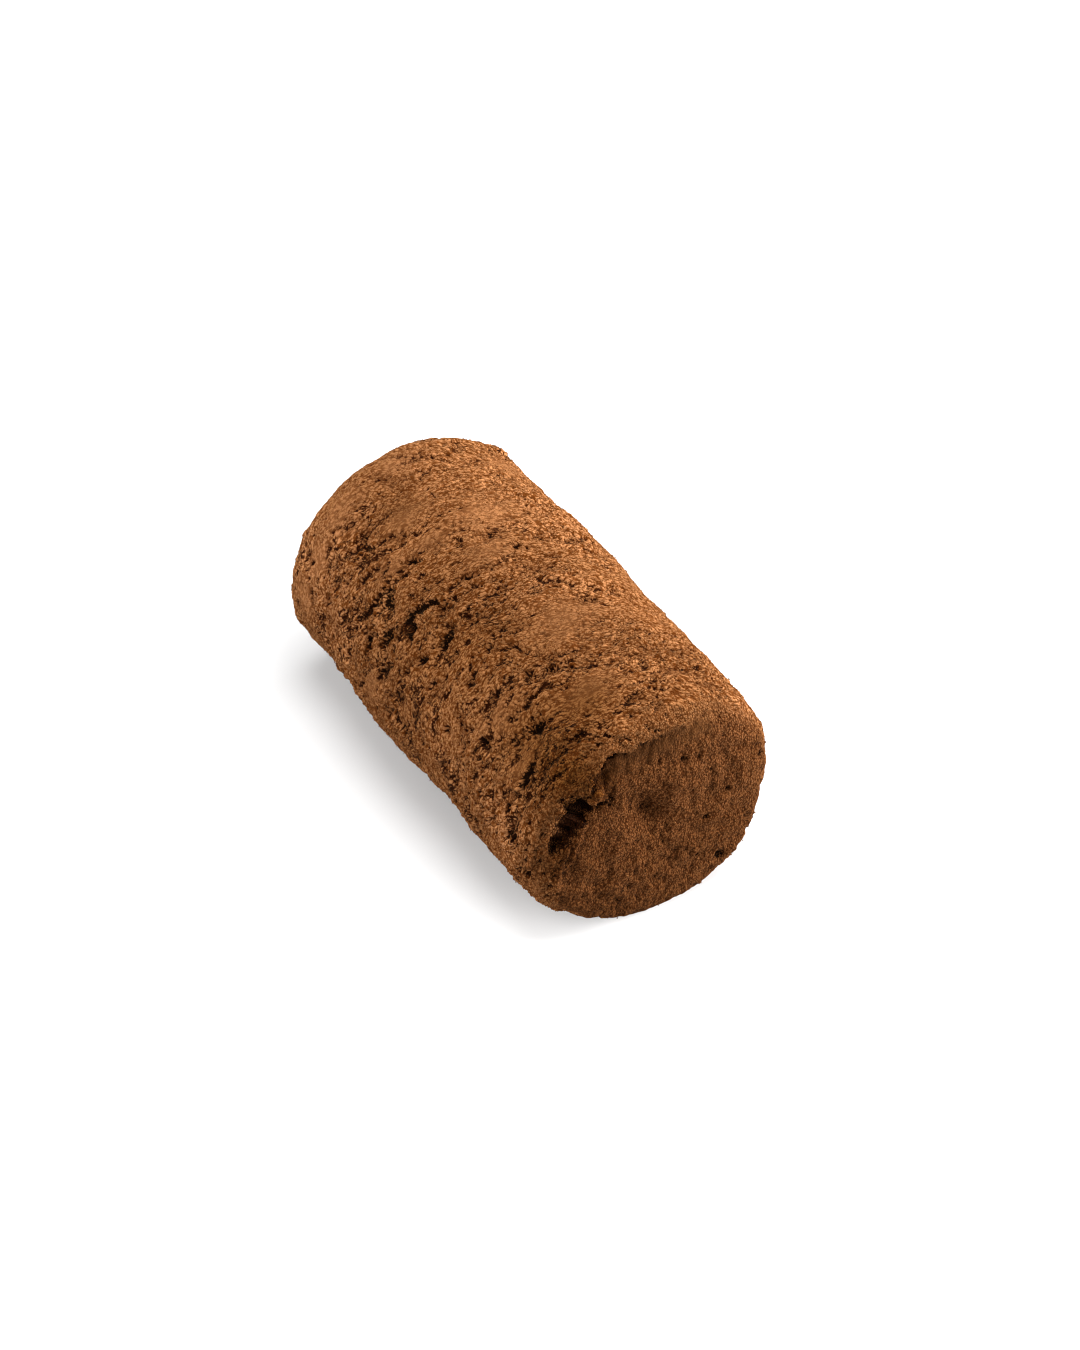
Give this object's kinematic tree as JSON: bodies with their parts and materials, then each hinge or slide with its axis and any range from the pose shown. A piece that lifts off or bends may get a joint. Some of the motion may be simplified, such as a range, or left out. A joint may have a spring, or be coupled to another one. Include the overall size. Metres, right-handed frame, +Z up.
{
  "type": "chocolate truffle",
  "caption": "Log-shaped chocolate truffle rolled in cocoa powder, lying on its side with its smoother cut end showing.",
  "frame": {"origin": "on the surface the truffle rests on, under the middle of its length and width", "axes": "+X along the log from its rounded far end to its cut end, +Z up"},
  "size_m": [0.0355, 0.0207, 0.0193],
  "materials": {
    "cocoa_coat": "matte"
  },
  "bodies": {
    "root": {"truffle": "cocoa_coat"}
  },
  "joints": []
}
